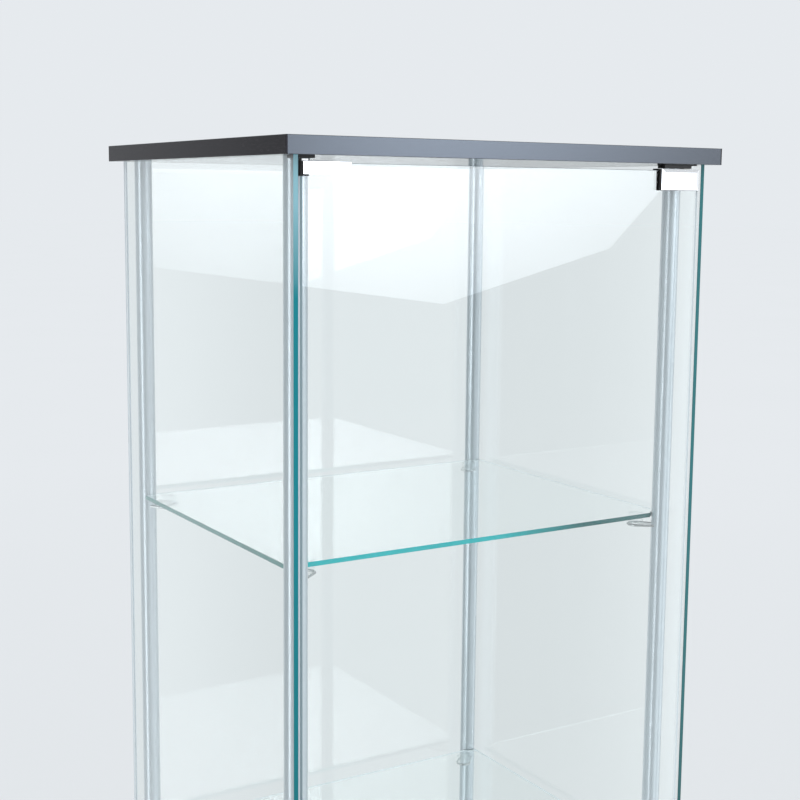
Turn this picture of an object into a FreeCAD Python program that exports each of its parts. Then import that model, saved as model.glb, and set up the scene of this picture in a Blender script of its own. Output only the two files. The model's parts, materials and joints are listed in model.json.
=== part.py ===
import FreeCAD, Part

import math
import os

# A free-standing display cabinet: two foil-covered boards joined by four tubular posts, with glass
# sides, a glass back, four notched glass shelves on wire supports and a hinged glass door.
# Millimetres, +Z up, +X to the right along the front, the front at -Y. The origin is the middle of
# the footprint, on the floor.

V = FreeCAD.Vector
UP = V(0, 0, 1)

# Overall size
WIDTH = 426.0
DEPTH = 364.0
FOOT_H = 6.0
BOARD_T = 14.2
POST_LEN = 1625.6

# Boards
BAND_T = 1.5
BAND_ROUND = 0.4
GROOVE_DEPTH = 5.0
GROOVE_GAP = 0.2

# Glass
GLASS_T = 4.0
GLASS_ARRIS = 0.3
SIDE_INSET_X = 10.9
GLASS_INSET_Y = 9.5
PANEL_HEAD_GAP = 0.5
BACK_END_GAP = 0.5

# Posts
POST_R = 8.0
POST_WALL = 1.0
POST_INSET_X = 26.8
POST_INSET_FRONT = 35.4
POST_INSET_BACK = 25.1
PLUG_LEN = 20.0
SCREW_R = 3.0
SCREW_HEAD_R = 5.8
SCREW_HEAD_H = 3.2
SCREW_REACH = 16.0
SCREW_KEY_R = 2.3
SCREW_KEY_DEPTH = 2.8
CAP_R = 7.0
CAP_T = 1.4
FIT = 0.05

# Shelves
SHELF_COUNT = 4
SHELF_PITCH = 331.0
SHELF_HALF_W = 191.4
SHELF_Y0 = -142.3
SHELF_Y1 = 152.3
NOTCH_R = 9.0

# Shelf supports: a wire loop in each post, with a soft bumper under the glass
WIRE_R = 1.1
WIRE_DROP = 7.4
LOOP_R = 7.0
LOOP_REACH = 22.0
LEG_START = 2.5
LEG_HALF_GAP = 4.9
BUMPER_R = 7.0
BUMPER_STEM_R = 5.7
BUMPER_STEM = 3.0

# Door
DOOR_W = 390.0
DOOR_END_GAP = 5.4

# Door hinges
PIVOT_FROM_EDGE = 14.5
CLAMP_LEN = 42.5
CLAMP_H = 18.0
CLAMP_END_GAP = 1.0
CLAMP_FRONT_T = 1.8
CLAMP_BEVEL_T = 0.7
CLAMP_BEVEL_W = 3.0
CLAMP_BACK_T = 3.0
CLAMP_WEB_T = 1.0
LINER_T = 0.5
LINER_TOP_T = 0.3
LINER_LIP = 2.4
LINER_TAB = 2.6
LINER_DROP = 0.4
GRUB_R = 2.0
GRUB_RISE = 5.5
GRUB_SHARES = (0.27, 0.66)
GRUB_KEY_R = 1.1
GRUB_KEY_DEPTH = 1.6
PIN_R = 2.5
PIN_LEN = 11.2
PIN_CHAMFER = 0.5
BORE_R = 2.56
WASHER_R = 4.6
WASHER_T = 0.42
SOCKET_FLANGE_T = 1.2
SOCKET_BLOCK_T = 2.4
SOCKET_FLANGE_LEFT = 26.9
SOCKET_FLANGE_RIGHT = 9.6
SOCKET_BLOCK_RIGHT = 3.9
SOCKET_FLANGE_HALF_Y = 5.0
SOCKET_BLOCK_HALF_Y = 4.4
SOCKET_SCREW_INSET = 7.5
SPIGOT_R = 4.2
SPIGOT_LEN = 8.5
BORE_DEPTH = 10.4
SMALL_SCREW_R = 1.5
SMALL_HEAD_R = 2.9
SMALL_HEAD_H = 1.7
SMALL_SCREW_LEN = 12.5
SMALL_SCREW_POINT = 2.5
SMALL_SCREW_TIP_R = 0.3
CROSS_HALF = 1.5
CROSS_HALF_T = 0.3
CROSS_DEPTH = 0.9

# Magnetic catch
CLIP_LEN = 39.8
CLIP_H = 9.7
CLIP_T = 1.0
CLIP_LINER_T = 0.4
CLIP_EDGE_GAP = 0.5
CLIP_ROUND = 0.5
CLIP_END_CAP = 1.5
CLIP_TOE = 4.5
CLIP_TOE_DROP = 1.5
CATCH_X0 = -196.2
CATCH_W = 13.0
CATCH_BASE_T = 2.1
CATCH_BASE_Y0 = -170.5
CATCH_Y1 = -155.6
CATCH_SHELL_INSET = 2.6
CATCH_SHELL_D = 6.2
CATCH_SHELL_H = 9.6
CATCH_SCREW_INSET = 3.4
MAGNET_WALL = 1.2
MAGNET_ROOF = 0.4
MAGNET_D = 4.0

# Feet
FOOT_R = 11.0
FOOT_TOP_R = 9.5
FOOT_X = 158.0
FOOT_Y = 158.0
FOOT_ROUND = 1.2
NAIL_R = 1.3
NAIL_HEAD_R = 3.4
NAIL_HEAD_H = 1.2
NAIL_RECESS = 2.2
NAIL_LEN = 13.0
NAIL_POINT = 2.0
NAIL_TIP_R = 0.2

# Levels and planes worked out from the sizes above
Z_BASE0 = FOOT_H
Z_BASE1 = Z_BASE0 + BOARD_T
Z_TOP0 = Z_BASE1 + POST_LEN
Z_TOP1 = Z_TOP0 + BOARD_T
Z_MID = (Z_BASE1 + Z_TOP0) / 2
X_EDGE = WIDTH / 2
Y_EDGE = DEPTH / 2
SIDE_X1 = X_EDGE - SIDE_INSET_X
SIDE_X0 = SIDE_X1 - GLASS_T
GLASS_Y0 = -Y_EDGE + GLASS_INSET_Y
GLASS_Y1 = Y_EDGE - GLASS_INSET_Y
POST_X = X_EDGE - POST_INSET_X
POST_Y0 = -Y_EDGE + POST_INSET_FRONT
POST_Y1 = Y_EDGE - POST_INSET_BACK
DOOR_X1 = DOOR_W / 2
DOOR_Y0 = GLASS_Y0
DOOR_Y1 = DOOR_Y0 + GLASS_T
DOOR_Z0 = Z_BASE1 + DOOR_END_GAP
DOOR_Z1 = Z_TOP0 - DOOR_END_GAP
PIVOT_X = DOOR_X1 - PIVOT_FROM_EDGE
PIVOT_Y = (DOOR_Y0 + DOOR_Y1) / 2
SOCKET_SCREW_X = PIVOT_X - SOCKET_FLANGE_LEFT + SOCKET_SCREW_INSET
SOCKET_BLOCK_Z = Z_TOP0 - SOCKET_FLANGE_T - SOCKET_BLOCK_T
CATCH_SCREW_X = CATCH_X0 + CATCH_W / 2
CATCH_SCREW_Y = CATCH_Y1 - CATCH_SCREW_INSET
CATCH_BASE_Z = Z_TOP0 - CATCH_BASE_T
NAIL_TOP = NAIL_RECESS + NAIL_LEN

# Each post's node name, axis and the sign of its corner
POSTS = {
    "post_front_left": (-POST_X, POST_Y0, -1, -1),
    "post_front_right": (POST_X, POST_Y0, 1, -1),
    "post_back_left": (-POST_X, POST_Y1, -1, 1),
    "post_back_right": (POST_X, POST_Y1, 1, 1),
}
SHELF_Z = [Z_MID + SHELF_PITCH * (i - (SHELF_COUNT - 1) / 2) for i in range(SHELF_COUNT)]


def box(x0, x1, y0, y1, z0, z1):
    return Part.makeBox(x1 - x0, y1 - y0, z1 - z0, V(x0, y0, z0))


def rod(radius, x, y, z0, z1):
    return Part.makeCylinder(radius, z1 - z0, V(x, y, z0), UP)


def cone(r0, r1, x, y, z0, z1):
    return Part.makeCone(r0, r1, z1 - z0, V(x, y, z0), UP)


def fused(shapes):
    whole = shapes[0].fuse(shapes[1:])
    return whole.removeSplitter()


def group(shapes):
    """Several separate solids that are one node."""
    return Part.makeCompound([solid for shape in shapes for solid in shape.Solids])


def mirrored(shape):
    """The same piece at the other end of the posts."""
    return shape.mirror(V(0, 0, Z_MID), UP)


def level_edges(shape, z):
    return [e for e in shape.Edges if all(abs(v.Point.z - z) < 1e-6 for v in e.Vertexes)]


def arrised(panel):
    """A glass panel with every edge lightly ground."""
    return panel.makeChamfer(GLASS_ARRIS, panel.Edges)


def hex_prism(across_r, centre, direction, length):
    ring = [V(across_r * math.cos(a), across_r * math.sin(a), 0)
            for a in (math.radians(60 * i) for i in range(6))]
    prism = Part.Face(Part.makePolygon(ring + ring[:1])).extrude(V(0, 0, length))
    prism.Placement = FreeCAD.Placement(centre, FreeCAD.Rotation(UP, direction))
    return prism


# ---- Boards -------------------------------------------------------------------------------------

def post_screw_void(x, y, gap):
    """The room a post screw takes in the top board, from the post up to its countersink."""
    head_z1 = Z_TOP1 - CAP_T - gap
    return fused([
        rod(SCREW_R + gap, x, y, Z_TOP0 - 1, head_z1),
        cone(SCREW_R + gap, SCREW_HEAD_R + gap, x, y, head_z1 - SCREW_HEAD_H, head_z1),
    ])


def groove(x0, x1, y0, y1):
    """A slot in the underside of the top board for the edge of a glass panel."""
    g = GROOVE_GAP
    return box(x0 - g, x1 + g, y0 - g, y1 + g, Z_TOP0, Z_TOP0 + GROOVE_DEPTH)


def board_core():
    """The board as the top one: grooves, screw holes and the hinge socket's hole on the underside."""
    core = box(-X_EDGE + BAND_T, X_EDGE - BAND_T, -Y_EDGE + BAND_T, Y_EDGE - BAND_T, Z_TOP0, Z_TOP1)
    cuts = [
        groove(-SIDE_X1, -SIDE_X0, GLASS_Y0, GLASS_Y1),
        groove(SIDE_X0, SIDE_X1, GLASS_Y0, GLASS_Y1),
        groove(-SIDE_X0 + BACK_END_GAP, SIDE_X0 - BACK_END_GAP, GLASS_Y1 - GLASS_T, GLASS_Y1),
        rod(SPIGOT_R + FIT, PIVOT_X, PIVOT_Y, Z_TOP0, Z_TOP0 + SPIGOT_LEN + FIT),
        small_screw_hole(SOCKET_SCREW_X, PIVOT_Y),
    ]
    for x, y, _, _ in POSTS.values():
        cuts.append(post_screw_void(x, y, FIT))
        cuts.append(rod(CAP_R + FIT, x, y, Z_TOP1 - CAP_T - FIT, Z_TOP1))
    return core.cut(cuts)


def top_board():
    return board_core().cut(small_screw_hole(CATCH_SCREW_X, CATCH_SCREW_Y))


def base_board():
    """The same board turned over, with the nails of the feet instead of the catch."""
    holes = [rod(NAIL_R + FIT, x, y, Z_BASE0, NAIL_TOP + FIT) for x, y in foot_places()]
    return mirrored(board_core()).cut(holes)


def edge_bands(z0, z1):
    """Side bands over the full depth, and front and back bands between them."""
    side = box(-X_EDGE, -X_EDGE + BAND_T, -Y_EDGE, Y_EDGE, z0, z1)
    side = side.makeFillet(BAND_ROUND, [e for e in side.Edges if on_x(e, -X_EDGE)])
    front = box(-X_EDGE + BAND_T, X_EDGE - BAND_T, -Y_EDGE, -Y_EDGE + BAND_T, z0, z1)
    front = front.makeFillet(BAND_ROUND, [e for e in front.Edges if long_outer_front(e)])
    sides = [side, side.mirror(V(0, 0, 0), V(1, 0, 0))]
    fronts = [front, front.mirror(V(0, 0, 0), V(0, 1, 0))]
    return group(sides), group(fronts)


def on_x(edge, x):
    return all(abs(v.Point.x - x) < 1e-6 for v in edge.Vertexes)


def long_outer_front(edge):
    on_front = all(abs(v.Point.y + Y_EDGE) < 1e-6 for v in edge.Vertexes)
    return on_front and edge.Length > BOARD_T + 1


# ---- Posts --------------------------------------------------------------------------------------

def post(x, y, sx, sy):
    tube = rod(POST_R, x, y, Z_BASE1, Z_TOP0).cut(rod(POST_R - POST_WALL, x, y, Z_BASE1, Z_TOP0))
    holes = [wire_leg(x, y, sx, sy, z - GLASS_T / 2 - WIRE_DROP, side, WIRE_R + FIT)
             for z in SHELF_Z for side in (-1, 1)]
    return tube.cut(holes)


def post_plugs():
    plugs = []
    for x, y, _, _ in POSTS.values():
        body = rod(POST_R - POST_WALL - FIT, x, y, Z_TOP0 - PLUG_LEN, Z_TOP0)
        plugs.append(body.cut(rod(SCREW_R + FIT, x, y, Z_TOP0 - PLUG_LEN, Z_TOP0)))
    return group(plugs)


def post_screws():
    screws = []
    for x, y, _, _ in POSTS.values():
        head_z1 = Z_TOP1 - CAP_T - FIT
        shank = rod(SCREW_R, x, y, Z_TOP0 - SCREW_REACH, head_z1)
        head = cone(SCREW_R, SCREW_HEAD_R, x, y, head_z1 - SCREW_HEAD_H, head_z1)
        key = hex_prism(SCREW_KEY_R, V(x, y, head_z1), V(0, 0, -1), SCREW_KEY_DEPTH)
        screws.append(fused([shank, head]).cut(key))
    return group(screws)


def post_caps():
    return group([rod(CAP_R, x, y, Z_TOP1 - CAP_T, Z_TOP1) for x, y, _, _ in POSTS.values()])


# ---- Glass --------------------------------------------------------------------------------------

def side_glass(sign):
    x0, x1 = sorted((sign * SIDE_X0, sign * SIDE_X1))
    return arrised(box(x0, x1, GLASS_Y0, GLASS_Y1, Z_BASE1 - GROOVE_DEPTH,
                       Z_TOP0 + GROOVE_DEPTH - PANEL_HEAD_GAP))


def back_glass():
    half = SIDE_X0 - BACK_END_GAP
    return arrised(box(-half, half, GLASS_Y1 - GLASS_T, GLASS_Y1, Z_BASE1 - GROOVE_DEPTH,
                       Z_TOP0 + GROOVE_DEPTH - PANEL_HEAD_GAP))


def door_glass():
    return arrised(box(-DOOR_X1, DOOR_X1, DOOR_Y0, DOOR_Y1, DOOR_Z0, DOOR_Z1))


def shelf(z):
    """A glass shelf with a round notch at each corner, where it goes past a post."""
    z0, z1 = z - GLASS_T / 2, z + GLASS_T / 2
    plate = box(-SHELF_HALF_W, SHELF_HALF_W, SHELF_Y0, SHELF_Y1, z0, z1)
    plate = plate.cut([rod(NOTCH_R, x, y, z0, z1) for x, y, _, _ in POSTS.values()])
    return plate.makeChamfer(GLASS_ARRIS, level_edges(plate, z0) + level_edges(plate, z1))


# ---- Shelf supports -----------------------------------------------------------------------------

def inward(x, y, sx, sy, along, across, z):
    """A point by its distance from the post's axis toward the cabinet's middle, and to one side."""
    r = math.sqrt(0.5)
    return V(x - r * sx * along - r * sy * across, y - r * sy * along + r * sx * across, z)


def leg_touch():
    """Where a straight leg from LEG_START runs tangent into the round end of the loop."""
    run = LOOP_REACH - LEG_START
    reach = math.hypot(run, LEG_HALF_GAP)
    turn = math.atan2(LEG_HALF_GAP, run) + math.asin(-LOOP_R / reach)
    return LOOP_REACH + LOOP_R * math.sin(turn), LOOP_R * math.cos(turn)


def wire_leg(x, y, sx, sy, z, side, radius):
    along, across = leg_touch()
    start = inward(x, y, sx, sy, LEG_START, side * LEG_HALF_GAP, z)
    end = inward(x, y, sx, sy, along, side * across, z)
    return Part.makeCylinder(radius, (end - start).Length, start, end - start)


def wire_loop(x, y, sx, sy, z):
    along, across = leg_touch()
    points = [inward(x, y, sx, sy, along, -across, z),
              inward(x, y, sx, sy, LOOP_REACH + LOOP_R, 0, z),
              inward(x, y, sx, sy, along, across, z)]
    start = inward(x, y, sx, sy, LEG_START, -LEG_HALF_GAP, z)
    end = inward(x, y, sx, sy, LEG_START, LEG_HALF_GAP, z)
    path = Part.Wire([Part.makeLine(start, points[0]),
                      Part.Arc(*points).toShape(),
                      Part.makeLine(points[2], end)])
    ring = Part.Wire([Part.makeCircle(WIRE_R, start, points[0] - start)])
    return path.makePipeShell([ring], True, False)


def bumper(x, y, sx, sy, z):
    """A soft stud: its stem drops into the loop and its head lies between the wire and the glass."""
    centre = inward(x, y, sx, sy, LOOP_REACH, 0, z)
    head = rod(BUMPER_R, centre.x, centre.y, z + WIRE_R, z + WIRE_DROP)
    stem = rod(BUMPER_STEM_R, centre.x, centre.y, z + WIRE_R - BUMPER_STEM, z + WIRE_R)
    return fused([head, stem])


# ---- Screws -------------------------------------------------------------------------------------

def small_screw(x, y, z):
    """A countersunk wood screw driven up, with its head's face at z."""
    shank_z1 = z + SMALL_SCREW_LEN - SMALL_SCREW_POINT
    parts = [
        cone(SMALL_HEAD_R, SMALL_SCREW_R, x, y, z, z + SMALL_HEAD_H),
        rod(SMALL_SCREW_R, x, y, z + SMALL_HEAD_H, shank_z1),
        cone(SMALL_SCREW_R, SMALL_SCREW_TIP_R, x, y, shank_z1, z + SMALL_SCREW_LEN),
    ]
    cross = [box(x - a, x + a, y - b, y + b, z, z + CROSS_DEPTH)
             for a, b in ((CROSS_HALF, CROSS_HALF_T), (CROSS_HALF_T, CROSS_HALF))]
    return fused(parts).cut(cross)


def small_screw_seat(x, y, z):
    """The countersunk through hole for that screw in the piece that it holds."""
    return fused([cone(SMALL_HEAD_R + FIT, SMALL_SCREW_R + FIT, x, y, z, z + SMALL_HEAD_H),
                  rod(SMALL_SCREW_R + FIT, x, y, z, z + SMALL_SCREW_LEN)])


def small_screw_hole(x, y):
    """The blind hole in the underside of the top board that such a screw is driven into."""
    return rod(SMALL_SCREW_R + FIT, x, y, Z_TOP0, CATCH_BASE_Z + SMALL_SCREW_LEN + FIT)


# ---- Hinge at the head of the door --------------------------------------------------------------

def clamp_planes():
    x1 = DOOR_X1 - CLAMP_END_GAP
    z1 = DOOR_Z1 + LINER_TOP_T + CLAMP_WEB_T
    return x1 - CLAMP_LEN, x1, z1 - CLAMP_H, z1


def cushion_plate(x0, x1, y_back, y_front, z0, z1):
    """A plate whose front stands forward inside a wide shallow bevel."""
    y_rim = y_front + CLAMP_BEVEL_T
    w = CLAMP_BEVEL_W
    rings = []
    for y, inset in ((y_rim, 0), (y_front, w)):
        corners = [V(x0 + inset, y, z0 + inset), V(x1 - inset, y, z0 + inset),
                   V(x1 - inset, y, z1 - inset), V(x0 + inset, y, z1 - inset)]
        rings.append(Part.makePolygon(corners + corners[:1]))
    return fused([box(x0, x1, y_rim, y_back, z0, z1), Part.makeLoft(rings, True, True)])


def hinge_clamp():
    """A metal channel that folds over the top edge of the door, thick at the back for its screws."""
    x0, x1, z0, z1 = clamp_planes()
    front_y = DOOR_Y0 - LINER_T
    back_y = DOOR_Y1 + LINER_T
    front = cushion_plate(x0, x1, front_y, front_y - CLAMP_FRONT_T, z0, z1)
    web = box(x0, x1, front_y, back_y, z1 - CLAMP_WEB_T, z1)
    back = box(x0, x1, back_y, back_y + CLAMP_BACK_T, z0, z1)
    body = fused([front, web, back])
    holes = [rod(PIN_R + FIT, PIVOT_X, PIVOT_Y, z1 - CLAMP_WEB_T, z1)]
    for x, z in grub_places():
        holes.append(Part.makeCylinder(GRUB_R + FIT, CLAMP_BACK_T, V(x, back_y, z), V(0, 1, 0)))
    return body.cut(holes)


def hinge_liner():
    """The soft channel between clamp and glass. It shows as a thin line under the clamp, with a lip
    along the clamp's inner end and a tab over the top edge of the glass."""
    x0, x1, clamp_z0, z1 = clamp_planes()
    z0 = clamp_z0 - LINER_DROP
    lip_x0 = x0 - LINER_LIP
    top = DOOR_Z1 + LINER_TOP_T
    lip_y = DOOR_Y0 - LINER_T - CLAMP_FRONT_T + CLAMP_BEVEL_T
    parts = [
        box(lip_x0, x1, DOOR_Y0 - LINER_T, DOOR_Y0, z0, top),
        box(lip_x0, x1, DOOR_Y1, DOOR_Y1 + LINER_T, z0, top),
        box(lip_x0, x1, DOOR_Y0 - LINER_T, DOOR_Y1 + LINER_T, DOOR_Z1, top),
        box(lip_x0, x0, lip_y, DOOR_Y0, z0, z1),
        box(lip_x0 - LINER_TAB, x0, lip_y, DOOR_Y1 + LINER_T, DOOR_Z1, z1),
    ]
    return fused(parts)


def grub_places():
    x0, _, z0, _ = clamp_planes()
    return [(x0 + CLAMP_LEN * share, z0 + GRUB_RISE) for share in GRUB_SHARES]


def hinge_grub_screws():
    """Two headless screws through the back of the clamp, each with a hexagon socket."""
    back_y = DOOR_Y1 + LINER_T
    screws = []
    for x, z in grub_places():
        body = Part.makeCylinder(GRUB_R, CLAMP_BACK_T, V(x, back_y, z), V(0, 1, 0))
        key = hex_prism(GRUB_KEY_R, V(x, back_y + CLAMP_BACK_T, z), V(0, -1, 0), GRUB_KEY_DEPTH)
        screws.append(body.cut(key))
    return group(screws)


def hinge_pin():
    z0 = DOOR_Z1 + LINER_TOP_T
    pin = rod(PIN_R, PIVOT_X, PIVOT_Y, z0, z0 + PIN_LEN)
    return pin.makeChamfer(PIN_CHAMFER, level_edges(pin, z0 + PIN_LEN))


def hinge_washer():
    """A thrust ring on the pin between the clamp and the socket."""
    z0 = clamp_planes()[3]
    ring = rod(WASHER_R, PIVOT_X, PIVOT_Y, z0, z0 + WASHER_T)
    return ring.cut(rod(PIN_R + FIT, PIVOT_X, PIVOT_Y, z0, z0 + WASHER_T))


def hinge_socket():
    """A stepped block under the board, with a spigot in the board and a blind bore for the pin."""
    flange_z = SOCKET_BLOCK_Z + SOCKET_BLOCK_T
    x0 = PIVOT_X - SOCKET_FLANGE_LEFT
    flange = box(x0, PIVOT_X + SOCKET_FLANGE_RIGHT, PIVOT_Y - SOCKET_FLANGE_HALF_Y,
                 PIVOT_Y + SOCKET_FLANGE_HALF_Y, flange_z, Z_TOP0)
    block = box(x0, PIVOT_X + SOCKET_BLOCK_RIGHT, PIVOT_Y - SOCKET_BLOCK_HALF_Y,
                PIVOT_Y + SOCKET_BLOCK_HALF_Y, SOCKET_BLOCK_Z, flange_z)
    spigot = rod(SPIGOT_R, PIVOT_X, PIVOT_Y, flange_z, Z_TOP0 + SPIGOT_LEN)
    body = fused([flange, block, spigot])
    return body.cut([rod(BORE_R, PIVOT_X, PIVOT_Y, SOCKET_BLOCK_Z, SOCKET_BLOCK_Z + BORE_DEPTH),
                     small_screw_seat(SOCKET_SCREW_X, PIVOT_Y, SOCKET_BLOCK_Z)])


def hinge_socket_screw():
    return small_screw(SOCKET_SCREW_X, PIVOT_Y, SOCKET_BLOCK_Z)


# ---- Magnetic catch at the free top corner of the door ------------------------------------------

def strike_planes():
    x0 = -DOOR_X1 + CLIP_EDGE_GAP
    z1 = DOOR_Z1 + LINER_TOP_T + CLIP_T
    return x0, x0 + CLIP_LEN, z1 - CLIP_H, z1


def strike_clip():
    """A thin steel channel over the door's top edge: its back leaf is what the magnet holds."""
    x0, x1, z0, z1 = strike_planes()
    y0 = DOOR_Y0 - CLIP_LINER_T - CLIP_T
    y1 = DOOR_Y1 + CLIP_LINER_T + CLIP_T
    channel = box(x0, x1, y0, y1, z0, z1).cut(box(x0, x1, y0 + CLIP_T, y1 - CLIP_T, z0, z1 - CLIP_T))
    outer = [e for e in channel.Edges
             if e.Length > CLIP_LEN - 1 and abs(e.Vertexes[0].Point.z - z1) < 1e-6]
    return channel.makeFillet(CLIP_ROUND, outer)


def strike_liner():
    """The dark lining of the clip, closed over the glass corner and with a toe under the front leaf."""
    x0, x1, z0, z1 = strike_planes()
    top = DOOR_Z1 + LINER_TOP_T
    cap_x = -DOOR_X1 - CLIP_END_CAP
    y0 = DOOR_Y0 - CLIP_LINER_T
    y1 = DOOR_Y1 + CLIP_LINER_T
    cap_z = z0 - CLIP_TOE_DROP
    outer = box(cap_x, x1, y0, y1, cap_z, top)
    lip = box(cap_x, x0, y0 - CLIP_T, y1 + CLIP_T, cap_z, z1)
    toe = box(x0, x0 + CLIP_TOE, y0 - CLIP_T, y0, cap_z, z0)
    glass = box(-DOOR_X1, x1, DOOR_Y0, DOOR_Y1, cap_z, DOOR_Z1)
    trim = box(x0 + CLIP_TOE, x1, y0, y1, cap_z, z0)
    return fused([outer, lip, toe]).cut([glass, trim])


def catch_faces():
    """The magnet's front, and the shell's left and right ends."""
    front = DOOR_Y1 + CLIP_LINER_T + CLIP_T + FIT
    return front, CATCH_X0 + CATCH_SHELL_INSET, CATCH_X0 + CATCH_W - CATCH_SHELL_INSET


def magnet_box(gap):
    """The magnet in its housing, or the pocket for it when gap is not 0."""
    front, x0, x1 = catch_faces()
    w = MAGNET_WALL
    return box(x0 + w - gap, x1 - w + gap, front, front + MAGNET_D + gap,
               CATCH_BASE_Z - CATCH_SHELL_H + w - gap, CATCH_BASE_Z - MAGNET_ROOF + gap)


def catch_housing():
    """A flat base screwed to the board with the magnet's shell below it, just behind the strike."""
    front, x0, x1 = catch_faces()
    base = box(CATCH_X0, CATCH_X0 + CATCH_W, CATCH_BASE_Y0, CATCH_Y1, CATCH_BASE_Z, Z_TOP0)
    shell = box(x0, x1, front, front + CATCH_SHELL_D, CATCH_BASE_Z - CATCH_SHELL_H, CATCH_BASE_Z)
    seat = small_screw_seat(CATCH_SCREW_X, CATCH_SCREW_Y, CATCH_BASE_Z)
    return fused([base, shell]).cut([magnet_box(FIT), seat])


def catch_screw():
    return small_screw(CATCH_SCREW_X, CATCH_SCREW_Y, CATCH_BASE_Z)


# ---- Feet ---------------------------------------------------------------------------------------

def foot_places():
    return [(sx * FOOT_X, sy * FOOT_Y) for sx in (-1, 1) for sy in (-1, 1)]


def foot_glides():
    glides = []
    for x, y in foot_places():
        disc = fused([rod(FOOT_R, x, y, 0, FOOT_H / 2),
                      cone(FOOT_R, FOOT_TOP_R, x, y, FOOT_H / 2, FOOT_H)])
        disc = disc.makeFillet(FOOT_ROUND, level_edges(disc, 0))
        hole = rod(NAIL_R + FIT, x, y, 0, FOOT_H)
        recess = rod(NAIL_HEAD_R + FIT, x, y, 0, NAIL_RECESS + NAIL_HEAD_H)
        glides.append(disc.cut([hole, recess]))
    return group(glides)


def foot_nails():
    nails = []
    for x, y in foot_places():
        head = rod(NAIL_HEAD_R, x, y, NAIL_RECESS, NAIL_RECESS + NAIL_HEAD_H)
        shank = rod(NAIL_R, x, y, NAIL_RECESS + NAIL_HEAD_H, NAIL_TOP - NAIL_POINT)
        point = cone(NAIL_R, NAIL_TIP_R, x, y, NAIL_TOP - NAIL_POINT, NAIL_TOP)
        nails.append(fused([head, shank, point]))
    return group(nails)


# ---- All nodes ----------------------------------------------------------------------------------

def build():
    nodes = {"top_board": top_board(), "base_board": base_board()}
    nodes["top_side_bands"], nodes["top_front_back_bands"] = edge_bands(Z_TOP0, Z_TOP1)
    nodes["base_side_bands"], nodes["base_front_back_bands"] = edge_bands(Z_BASE0, Z_BASE1)
    for name, place in POSTS.items():
        nodes[name] = post(*place)
    nodes["post_plugs_top"] = post_plugs()
    nodes["post_plugs_base"] = mirrored(post_plugs())
    nodes["post_screws_top"] = post_screws()
    nodes["post_screws_base"] = mirrored(post_screws())
    nodes["screw_caps_top"] = post_caps()
    nodes["screw_caps_base"] = mirrored(post_caps())
    nodes["side_glass_left"] = side_glass(-1)
    nodes["side_glass_right"] = side_glass(1)
    nodes["back_glass"] = back_glass()
    for number, z in enumerate(SHELF_Z, 1):
        wire_z = z - GLASS_T / 2 - WIRE_DROP
        nodes[f"shelf_{number}"] = shelf(z)
        nodes[f"shelf_{number}_wires"] = group([wire_loop(*p, wire_z) for p in POSTS.values()])
        nodes[f"shelf_{number}_bumpers"] = group([bumper(*p, wire_z) for p in POSTS.values()])
    nodes["door_glass"] = door_glass()
    hinge = {"clamp": hinge_clamp(), "liner": hinge_liner(), "grub_screws": hinge_grub_screws(),
             "pin": hinge_pin(), "washer": hinge_washer(), "socket": hinge_socket(),
             "socket_screw": hinge_socket_screw()}
    for piece, shape in hinge.items():
        nodes[f"hinge_top_{piece}"] = shape
        nodes[f"hinge_base_{piece}"] = mirrored(shape)
    nodes["strike_clip"] = strike_clip()
    nodes["strike_liner"] = strike_liner()
    nodes["catch_housing"] = catch_housing()
    nodes["catch_magnet"] = magnet_box(0)
    nodes["catch_screw"] = catch_screw()
    nodes["foot_glides"] = foot_glides()
    nodes["foot_nails"] = foot_nails()
    return nodes


os.makedirs("parts", exist_ok=True)
for name, shape in build().items():
    shape.exportStep(f"parts/{name}.step")
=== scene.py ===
import json
import math

import bpy
from mathutils import Matrix, Vector

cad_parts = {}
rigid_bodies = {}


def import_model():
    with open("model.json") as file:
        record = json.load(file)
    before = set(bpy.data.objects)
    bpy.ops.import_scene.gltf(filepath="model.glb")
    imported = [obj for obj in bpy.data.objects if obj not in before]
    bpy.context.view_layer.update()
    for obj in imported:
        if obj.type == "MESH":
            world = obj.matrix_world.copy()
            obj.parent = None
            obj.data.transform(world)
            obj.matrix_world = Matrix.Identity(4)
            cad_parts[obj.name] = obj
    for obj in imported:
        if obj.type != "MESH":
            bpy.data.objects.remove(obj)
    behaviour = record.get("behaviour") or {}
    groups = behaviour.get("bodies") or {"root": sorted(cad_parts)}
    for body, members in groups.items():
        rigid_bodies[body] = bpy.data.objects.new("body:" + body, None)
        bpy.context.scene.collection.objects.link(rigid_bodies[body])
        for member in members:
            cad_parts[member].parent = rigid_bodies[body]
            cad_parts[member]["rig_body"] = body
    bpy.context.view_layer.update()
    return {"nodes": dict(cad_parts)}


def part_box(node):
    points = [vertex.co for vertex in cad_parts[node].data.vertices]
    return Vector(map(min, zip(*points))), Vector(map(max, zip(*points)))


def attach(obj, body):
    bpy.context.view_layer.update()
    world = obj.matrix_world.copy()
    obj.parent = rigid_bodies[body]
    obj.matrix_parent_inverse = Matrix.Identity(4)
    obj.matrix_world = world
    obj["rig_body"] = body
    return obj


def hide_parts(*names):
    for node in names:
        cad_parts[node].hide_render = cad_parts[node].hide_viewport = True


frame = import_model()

# ---- Sizes, in metres and degrees ---------------------------------------------------------------

CAMERA_PLACE = (-0.6769, -1.0932, 1.6178)
CAMERA_YAW = 31.652
CAMERA_PITCH = 7.688
CAMERA_ROLL = 0.538
CAMERA_LENS = 63.2
CAMERA_SHIFT_Y = -0.02

# A face of a pane is square to the pane's thin axis; what isn't is its ground edge.
PANE_FACING = 0.95
# The outer wall of a post: how near the radius its points lie, and how squarely it faces out.
WALL_FIT = 0.05
WALL_FACING = 0.9

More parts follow.
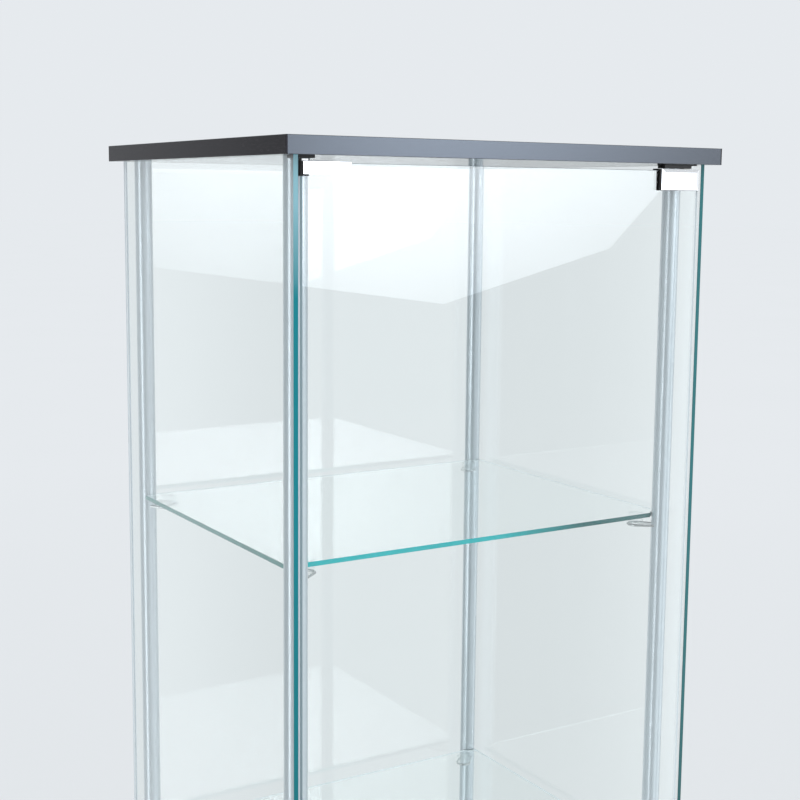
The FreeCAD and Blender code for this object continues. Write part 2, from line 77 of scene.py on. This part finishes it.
# Where the colours of the ground edges change: up from a pane's foot, down from its head, and in
# from a shelf's left side. These changes are painted light along each edge, and the crown at the
# head of the left pane is a painted reflection.
EDGE_FADE_LOW = 0.9
EDGE_FADE_HIGH = 0.3
CROWN_REFLECTION_START = 0.11
CROWN_REFLECTION_FULL = 0.04
SHELF_CORNER = 0.002
SHELF_FADE = 0.10

FLOOR_RADIUS = 80.0
FLOOR_STEPS = 96
PALE = (0.792, 0.824, 0.856)

# How bright the room's walls look in metal and glass. Each wall is a heading, from -Y towards +X,
# and a level. The narrow bright wall at the left is what draws the first stripe on a post.
WALLS = [
    (-180, 0.80), (-158, 0.80), (-147, 0.30), (-102, 0.35), (-90, 0.40), (-84, 3.80), (-65, 3.80),
    (-57, 0.20), (-26, 0.20), (-6, 1.20), (4, 1.90), (18, 1.90), (26, 0.85), (38, 0.85), (48, 2.20),
    (62, 2.20), (72, 0.80), (180, 0.80),
]
WALL_TINT = (0.96, 1.00, 1.04)
UPPER_WALL = (0.768, 0.80, 0.832)
CEILING = (0.62, 0.65, 0.68)

# The softlight stands in front of the door, to the right, and tilts down at the showcase.
LIGHT_PLACE = (0.781, -1.425, 1.684)
LIGHT_RADIUS = 0.482
LIGHT_HEADING = 17.8
LIGHT_TILT = 51.2
LIGHT_DEPTH = 0.18
LIGHT_GORES = 8
LIGHT_RINGS = 6
LIGHT_TURN = 10.0
LIGHT_HUB_LEVEL = 7.0
LIGHT_RIM_LEVEL = 2.2


# ---- Node graph helper --------------------------------------------------------------------------

class Graph:
    """A short way to write a node tree: add() makes a node and feeds its inputs."""

    def __init__(self, tree):
        self.tree = tree
        tree.nodes.clear()

    def add(self, kind, inputs=None, **settings):
        node = self.tree.nodes.new(kind)
        for name, value in settings.items():
            setattr(node, name, value)
        for name, value in (inputs or {}).items():
            self.feed(node.inputs[name], value)
        return node

    def feed(self, socket, value):
        if isinstance(value, bpy.types.NodeSocket):
            self.tree.links.new(value, socket)
        elif socket.type == "RGBA" and len(value) == 3:
            socket.default_value = (*value, 1.0)
        else:
            socket.default_value = value

    def math(self, operation, a, b=0.0):
        return self.add("ShaderNodeMath", {0: a, 1: b}, operation=operation).outputs[0]

    def mix(self, share, a, b):
        """The colour between a and b."""
        node = self.add("ShaderNodeMix", data_type="RGBA")
        self.feed(node.inputs["Factor"], share)
        self.feed(node.inputs[6], a)
        self.feed(node.inputs[7], b)
        return node.outputs[2]

    def span(self, value, low, high, to_low=0.0, to_high=1.0):
        """value carried from low..high to to_low..to_high, and held at the ends."""
        inputs = {"Value": value, "From Min": low, "From Max": high, "To Min": to_low, "To Max": to_high}
        return self.add("ShaderNodeMapRange", inputs).outputs[0]

    def place(self):
        """A point of the piece as x, y and z: on a CAD piece, its place in the row frame at rest."""
        return self.add("ShaderNodeTexCoord").outputs["Object"]

    def split(self, vector):
        return self.add("ShaderNodeSeparateXYZ", {0: vector}).outputs

    def from_axis(self):
        """How far a point of the piece is from the piece's own Z axis."""
        spot = self.split(self.place())
        x_square = self.math("MULTIPLY", spot["X"], spot["X"])
        y_square = self.math("MULTIPLY", spot["Y"], spot["Y"])
        return self.math("SQRT", self.math("ADD", x_square, y_square))

    def mirrored(self):
        """1 in a mirror image, also one that is seen through glass, and 0 elsewhere."""
        return self.math("MINIMUM", self.add("ShaderNodeLightPath").outputs["Glossy Depth"], 1.0)

    def noise(self, scale, detail=3.0, stretch=(1, 1, 1), roughness=0.5):
        """Noise of about 1/scale metres, drawn out along the axes whose stretch is small."""
        mapping = self.add("ShaderNodeMapping", {"Vector": self.place(), "Scale": stretch})
        inputs = {"Vector": mapping.outputs[0], "Scale": scale, "Detail": detail, "Roughness": roughness}
        return self.add("ShaderNodeTexNoise", inputs).outputs["Fac"]

    def bump(self, height, distance):
        return self.add("ShaderNodeBump", {"Height": height, "Distance": distance}).outputs["Normal"]

    def surface(self, shader):
        self.add("ShaderNodeOutputMaterial", {"Surface": shader})


def new_material(name):
    material = bpy.data.materials.new(name)
    material.use_nodes = True
    return material, Graph(material.node_tree)


def principled(graph, **sockets):
    """A Principled shader; a keyword is the socket's name with _ for a space."""
    inputs = {name.replace("_", " "): value for name, value in sockets.items()}
    return graph.add("ShaderNodeBsdfPrincipled", inputs).outputs[0]


# ---- Materials ----------------------------------------------------------------------------------

def foil(name, rough, shine, sheen_tint):
    """Dark brown-black foil on the boards, with fine pores drawn out along their width."""
    material, g = new_material(name)
    pores = g.noise(1500, 4, (0.12, 0.12, 1))
    cloud = g.noise(14, 2)
    dark = g.mix(cloud, (0.0105, 0.0090, 0.0105), (0.0145, 0.0125, 0.0145))
    colour = g.mix(g.span(pores, 0.50, 0.66), dark, (0.024, 0.021, 0.024))
    g.surface(principled(
        g, Base_Color=colour, Roughness=g.span(pores, 0.3, 0.7, rough - 0.02, rough + 0.02),
        Specular_IOR_Level=shine, Specular_Tint=sheen_tint))
    return material


def silver(name):
    """The posts' silver finish: a soft metallic body under a clear coat, with faint drawn lines."""
    material, g = new_material(name)
    lines = g.noise(3200, 2, (1, 1, 0.004))
    cloud = g.noise(9, 2, (1, 1, 0.3))
    tint = g.mix(cloud, (0.500, 0.555, 0.605), (0.545, 0.600, 0.650))
    g.surface(principled(
        g, Base_Color=tint, Metallic=0.35, Roughness=g.span(lines, 0.3, 0.7, 0.30, 0.32),
        Coat_Weight=1.0, Coat_Roughness=0.15, Coat_IOR=1.6))
    return material


def bright_metal(name, colour, low, high):
    """Plated or polished metal with faint marks from handling."""
    material, g = new_material(name)
    marks = g.noise(260, 5, (1, 1, 1), 0.7)
    rough = g.span(marks, 0.35, 0.75, low, high)
    tint = g.mix(g.span(marks, 0.45, 0.8), colour, tuple(c * 0.88 for c in colour))
    g.surface(principled(g, Base_Color=tint, Metallic=1.0, Roughness=rough))
    return material


def moulded(name, colour, rough, shine=0.5):
    """Moulded plastic or rubber with a fine spark-eroded grain."""
    material, g = new_material(name)
    grains = g.noise(2200, 2)
    cloud = g.noise(60, 3)
    tint = g.mix(g.span(cloud, 0.3, 0.7), colour, tuple(c * 1.35 for c in colour))
    g.surface(principled(
        g, Base_Color=tint, Roughness=g.span(grains, 0.3, 0.7, rough - 0.06, rough + 0.06),
        Specular_IOR_Level=shine, Normal=g.bump(grains, 0.00002)))
    return material


def clear_plastic(name):
    """A small clear bumper, so thin and so near the glass that it shows as a faint pale disc."""
    material, g = new_material(name)
    cloud = g.noise(400, 2)
    tint = g.mix(cloud, (0.80, 0.85, 0.87), (0.88, 0.92, 0.93))
    g.surface(principled(g, Base_Color=tint, Roughness=0.15, Alpha=0.14))
    return material


def clear_glass(name, tint):
    """The broad faces of a pane. Lamps shine through it, with its tint, onto what is inside."""
    material, g = new_material(name)
    glass = principled(g, Base_Color=tint, Roughness=0.0, IOR=1.52, Transmission_Weight=1.0)
    open_to_light = g.add("ShaderNodeBsdfTransparent", {"Color": tint}).outputs[0]
    path = g.add("ShaderNodeLightPath").outputs
    lamp = g.math("MAXIMUM", path["Is Shadow Ray"], path["Is Diffuse Ray"])
    g.surface(g.add("ShaderNodeMixShader", {0: lamp, 1: glass, 2: open_to_light}).outputs[0])
    return material


def glass_edge(name, axis, first, steps):
    """A ground and polished edge: the green-blue of the glass's own depth, with painted light on top:
    its tone brightens and dims along an axis as painted light piping and reflection. Each step is where
    the next colour starts, where it is full, and the colour. From within the pane the edge is a pale
    line, a painted reflection of the edge's inner mirror."""
    material, g = new_material(name)
    streak = g.span(g.noise(22, 3, (1, 1, 0.35)), 0.3, 0.7, 0.88, 1.0)
    along = g.split(g.place())[axis]
    shade = first
    # painted light: the steps brighten and dim the edge along its length, as light piped through the
    # glass would
    for start, full, colour in steps:
        shade = g.mix(g.span(along, start, full), shade, colour)
    shade = g.mix(streak, (0, 0, 0), shade)
    outside = principled(
        g, Base_Color=shade, Roughness=0.05, IOR=1.52, Specular_IOR_Level=0.25)
    # painted reflection: the pale line seen from within the pane stands in for the light the edge
    # mirrors back
    inside = g.add("ShaderNodeBsdfDiffuse", {"Color": (0.88, 0.92, 0.96)}).outputs[0]
    behind = g.add("ShaderNodeNewGeometry").outputs["Backfacing"]
    g.surface(g.add("ShaderNodeMixShader", {0: behind, 1: outside, 2: inside}).outputs[0])
    return material


# ---- Finishes of the CAD pieces -----------------------------------------------------------------

# A finish goes by the name of the CAD slot, or of the node where the node has one of its own.
side_band = foil("side_band_foil", 0.20, 0.15, (0.86, 0.86, 1.0))
finishes = {
    "top_side_bands": side_band,
    "base_side_bands": side_band,
    "board": foil("board_foil", 0.11, 0.45, (0.86, 0.92, 1.0)),
    "edge_band": foil("band_foil", 0.21, 1.0, (0.76, 0.86, 1.0)),
    "post_metal": silver("silver_post"),
    "plug": moulded("plug_plastic", (0.055, 0.055, 0.058), 0.45),
    "screw_steel": bright_metal("zinc_screw", (0.72, 0.73, 0.74), 0.22, 0.34),
    "cap": moulded("cap_plastic", (0.030, 0.028, 0.031), 0.40),
    "wire": bright_metal("nickel_wire", (0.60, 0.61, 0.61), 0.22, 0.30),
    "bumper": clear_plastic("bumper_clear"),
    "chrome": bright_metal("chrome_plate", (0.90, 0.90, 0.91), 0.10, 0.15),
    "black_plastic": moulded("black_plastic", (0.0035, 0.0033, 0.0036), 0.42, 0.3),
    "black_rubber": moulded("black_rubber", (0.0060, 0.0050, 0.0050), 0.60, 0.3),
    "magnet": bright_metal("magnet_nickel", (0.50, 0.50, 0.50), 0.30, 0.45),
    "washer": moulded("nylon_washer", (0.62, 0.61, 0.57), 0.50),
    "foot": moulded("foot_plastic", (0.045, 0.045, 0.048), 0.48),
}
# The broad faces of the panes, by slot.
pane_faces = {
    "panel_glass": clear_glass("panel_glass_face", (0.974, 0.995, 0.986)),
    "door_glass": clear_glass("door_glass_face", (0.974, 0.995, 0.986)),
    "shelf_glass": clear_glass("shelf_glass_face", (0.962, 0.992, 0.984)),
}

# The colours of the ground edges: the glass's own green-blue, with painted light. The lighter tones are
# painted light piping and painted reflection, the darker ones painted shade, and the left pane's crown
# is a painted reflection.
SHELF_SIDE = (0.110, 0.290, 0.275)
SHELF_TEAL = (0.002, 0.530, 0.560)
SHELF_DEEP = (0.002, 0.130, 0.130)
LEFT_TEAL = (0.002, 0.260, 0.310)
LEFT_DEEP = (0.002, 0.115, 0.120)
LEFT_CROWN_REFLECTION = (0.240, 0.520, 0.600)
RIGHT_TEAL = (0.020, 0.190, 0.205)
RIGHT_DEEP = (0.022, 0.110, 0.110)
DOOR_GREY = (0.300, 0.390, 0.430)
DOOR_DEEP = (0.190, 0.240, 0.260)
BACK_PALE = (0.560, 0.610, 0.670)
BACK_DEEP = (0.480, 0.550, 0.600)


def edge_of(node_name, slot_name):
    """The edge material of one pane: its colour runs up an upright pane and across a shelf."""
    low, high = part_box(node_name)
    name = node_name + "_edge"
    if slot_name == "shelf_glass":
        front = (low.x + SHELF_CORNER, low.x + 2 * SHELF_CORNER, SHELF_TEAL)
        return glass_edge(name, 0, SHELF_SIDE, [front, (0.0, SHELF_FADE, SHELF_DEEP)])
    start, full = low.z + EDGE_FADE_LOW, high.z - EDGE_FADE_HIGH
    if node_name == "door_glass":
        return glass_edge(name, 2, DOOR_DEEP, [(start, full, DOOR_GREY)])
    if node_name == "back_glass":
        return glass_edge(name, 2, BACK_DEEP, [(start, full, BACK_PALE)])
    if node_name == "side_glass_right":
        return glass_edge(name, 2, RIGHT_DEEP, [(start, full, RIGHT_TEAL)])
    # painted reflection: a pale crown at the head of the left pane
    crown_reflection = (high.z - CROWN_REFLECTION_START, high.z - CROWN_REFLECTION_FULL, LEFT_CROWN_REFLECTION)
    return glass_edge(name, 2, LEFT_DEEP, [(start, full, LEFT_TEAL), crown_reflection])


def stand_in(cad, node_name):
    """A piece that stands for a CAD node, in the same shape and on the same body."""
    mesh = cad.data.copy()
    mesh.name = node_name + "_look"
    piece = bpy.data.objects.new(node_name + "_look", mesh)
    bpy.context.scene.collection.objects.link(piece)
    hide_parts(node_name)
    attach(piece, cad["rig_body"])
    return mesh


def glaze(mesh, node_name, slot_name):
    """Tells the ground edges of a pane apart from its two faces."""
    low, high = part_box(node_name)
    thin = min(range(3), key=lambda k: high[k] - low[k])
    mesh.materials.clear()
    mesh.materials.append(pane_faces[slot_name])
    mesh.materials.append(edge_of(node_name, slot_name))
    for face in mesh.polygons:
        face.material_index = 0 if abs(face.normal[thin]) > PANE_FACING else 1


def make_round(mesh, node_name):
    """Gives the outer wall of a post the normals of a true round tube, also beside its holes."""
    low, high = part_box(node_name)
    axis = (low + high) / 2
    radius = (high.x - low.x) / 2
    normals = []
    for face in mesh.polygons:
        for index in face.vertices:
            place = mesh.vertices[index].co
            out = Vector((place.x - axis.x, place.y - axis.y, 0.0))
            on_wall = abs(out.length - radius) < radius * WALL_FIT
            out.normalize()
            faces_out = out.dot(face.normal) > WALL_FACING
            normals.append(out if on_wall and faces_out else face.normal.copy())
    mesh.polygons.foreach_set("use_smooth", [True] * len(mesh.polygons))
    mesh.normals_split_custom_set(normals)
    mesh.materials.clear()
    mesh.materials.append(finishes["post_metal"])


for node_name, cad in frame["nodes"].items():
    slot_name = cad.material_slots[0].material.name
    if slot_name in pane_faces:
        glaze(stand_in(cad, node_name), node_name, slot_name)
    elif slot_name == "post_metal":
        make_round(stand_in(cad, node_name), node_name)
    else:
        for material_slot in cad.material_slots:
            material_slot.material = finishes.get(node_name, finishes[slot_name])


# ---- Studio: floor, room light and softlight ----------------------------------------------------

def direction(heading, tilt):
    """The way to a light, at a heading from -Y towards +X and tilted up from level."""
    a, e = math.radians(heading), math.radians(tilt)
    return Vector((math.sin(a) * math.cos(e), -math.cos(a) * math.cos(e), math.sin(e)))


def studio_world():
    """A pale room. Seen straight on it is even; metal and glass mirror the walls of WALLS, which
    fade into a plain upper wall and a darker ceiling."""
    world = bpy.data.worlds.new("studio")
    world.use_nodes = True
    world.cycles.sampling_method = "NONE"
    bpy.context.scene.world = world
    g = Graph(world.node_tree)
    way = g.split(g.add("ShaderNodeTexCoord").outputs["Generated"])
    turn = g.math("ARCTAN2", way["X"], g.math("MULTIPLY", way["Y"], -1.0))
    ramp = g.add("ShaderNodeValToRGB", {0: g.span(turn, -math.pi, math.pi)})
    ramp.color_ramp.interpolation = "EASE"
    marks = ramp.color_ramp.elements
    for index, (heading, level) in enumerate(WALLS):
        spot = (heading + 180) / 360
        mark = marks[index] if index < 2 else marks.new(spot)
        mark.position = spot
        mark.color = (*(level * share for share in WALL_TINT), 1.0)
    walls = g.mix(g.span(way["Z"], 0.08, 0.22), ramp.outputs[0], UPPER_WALL)
    walls = g.mix(g.span(way["Z"], 0.25, 0.9), walls, CEILING)
    walls = g.mix(g.span(way["Z"], -0.35, -0.8), walls, PALE)
    colour = g.mix(g.mirrored(), PALE, walls)
    back = g.add("ShaderNodeBackground", {"Color": colour, "Strength": 1.0}).outputs[0]
    g.add("ShaderNodeOutputWorld", {"Surface": back})


def pale_floor():
    """A wide sheet of paper, with painted shade that darkens it towards the showcase. Metal and glass
    mirror the room's walls in its place.
    """
    material, g = new_material("floor_paper")
    cloud = g.noise(0.8, 3)
    tint = g.mix(cloud, (0.806, 0.812, 0.817), (0.820, 0.826, 0.830))
    # painted shade: the paper darkens towards the showcase, from 7 m in to 1 m from its axis
    shade = g.mix(g.span(g.from_axis(), 1.0, 7.0), (0.780, 0.788, 0.790), tint)
    paper = g.add("ShaderNodeBsdfDiffuse", {"Color": shade}).outputs[0]
    clear = g.add("ShaderNodeBsdfTransparent").outputs[0]
    g.surface(g.add("ShaderNodeMixShader", {0: g.mirrored(), 1: paper, 2: clear}).outputs[0])
    ring = []
    for k in range(FLOOR_STEPS):
        turn = 2 * math.pi * k / FLOOR_STEPS
        ring.append((FLOOR_RADIUS * math.cos(turn), FLOOR_RADIUS * math.sin(turn), 0.0))
    mesh = bpy.data.meshes.new("floor")
    mesh.from_pydata(ring, [], [tuple(range(FLOOR_STEPS))])
    mesh.materials.append(material)
    floor = bpy.data.objects.new("floor", mesh)
    bpy.context.scene.collection.objects.link(floor)


def softlight_material():
    """White cloth lit from within, brightest at its hub. It shows only in what mirrors it."""
    material, g = new_material("softlight_cloth")
    material.cycles.emission_sampling = "NONE"
    level = g.span(g.from_axis(), 0.0, LIGHT_RADIUS, LIGHT_HUB_LEVEL, LIGHT_RIM_LEVEL)
    cloth = g.add("ShaderNodeEmission", {"Color": (0.95, 1.0, 1.06), "Strength": level}).outputs[0]
    clear = g.add("ShaderNodeBsdfTransparent").outputs[0]
    g.surface(g.add("ShaderNodeMixShader", {0: g.mirrored(), 1: clear, 2: cloth}).outputs[0])
    return material


def softlight():
    """A shallow canopy of flat-sided gores, open towards the showcase."""
    points = [(0.0, 0.0, LIGHT_DEPTH)]
    for ring in range(1, LIGHT_RINGS + 1):
        share = ring / LIGHT_RINGS
        for k in range(LIGHT_GORES):
            turn = 2 * math.pi * k / LIGHT_GORES + math.radians(LIGHT_TURN)
            points.append((
                LIGHT_RADIUS * share * math.cos(turn),
                LIGHT_RADIUS * share * math.sin(turn),
                LIGHT_DEPTH * (1 - share ** 2)))
    faces = []
    for k in range(LIGHT_GORES):
        after = (k + 1) % LIGHT_GORES
        faces.append((0, 1 + k, 1 + after))
        for ring in range(LIGHT_RINGS - 1):
            inner, outer = 1 + ring * LIGHT_GORES, 1 + (ring + 1) * LIGHT_GORES
            faces.append((inner + k, outer + k, outer + after, inner + after))
    mesh = bpy.data.meshes.new("softlight")
    mesh.from_pydata(points, [], faces)
    mesh.materials.append(softlight_material())
    canopy = bpy.data.objects.new("softlight", mesh)
    axis = direction(LIGHT_HEADING, LIGHT_TILT)
    across = Vector((0, 0, 1)).cross(axis).normalized()
    turned = Matrix((across, axis.cross(across), axis)).transposed().to_4x4()
    canopy.matrix_world = Matrix.Translation(LIGHT_PLACE) @ turned
    bpy.context.scene.collection.objects.link(canopy)


def sun(name, heading, tilt, strength, spread):
    """A wide even light from far off, which draws no highlight of its own."""
    lamp = bpy.data.lights.new(name, "SUN")
    lamp.energy = strength
    lamp.angle = math.radians(spread)
    holder = bpy.data.objects.new(name, lamp)
    holder.rotation_euler = direction(heading, tilt).to_track_quat("Z", "Y").to_euler()
    holder.visible_glossy = False
    holder.visible_transmission = False
    bpy.context.scene.collection.objects.link(holder)


studio_world()
pale_floor()
softlight()
sun("key", 30, 55, 0.55, 50)
sun("fill", -70, 40, 0.18, 80)


# ---- Camera -------------------------------------------------------------------------------------

def make_camera():
    data = bpy.data.cameras.new("camera")
    data.lens = CAMERA_LENS
    data.shift_y = CAMERA_SHIFT_Y
    data.clip_end = 200.0
    camera = bpy.data.objects.new("camera", data)
    camera.matrix_world = (
        Matrix.Translation(CAMERA_PLACE)
        @ Matrix.Rotation(math.radians(-CAMERA_YAW), 4, "Z")
        @ Matrix.Rotation(math.radians(90 - CAMERA_PITCH), 4, "X")
        @ Matrix.Rotation(math.radians(CAMERA_ROLL), 4, "Z"))
    bpy.context.scene.collection.objects.link(camera)
    bpy.context.scene.camera = camera


make_camera()
scene = bpy.context.scene
scene.view_settings.view_transform = "Standard"
scene.cycles.max_bounces = 24
scene.cycles.transmission_bounces = 24
scene.cycles.transparent_max_bounces = 32
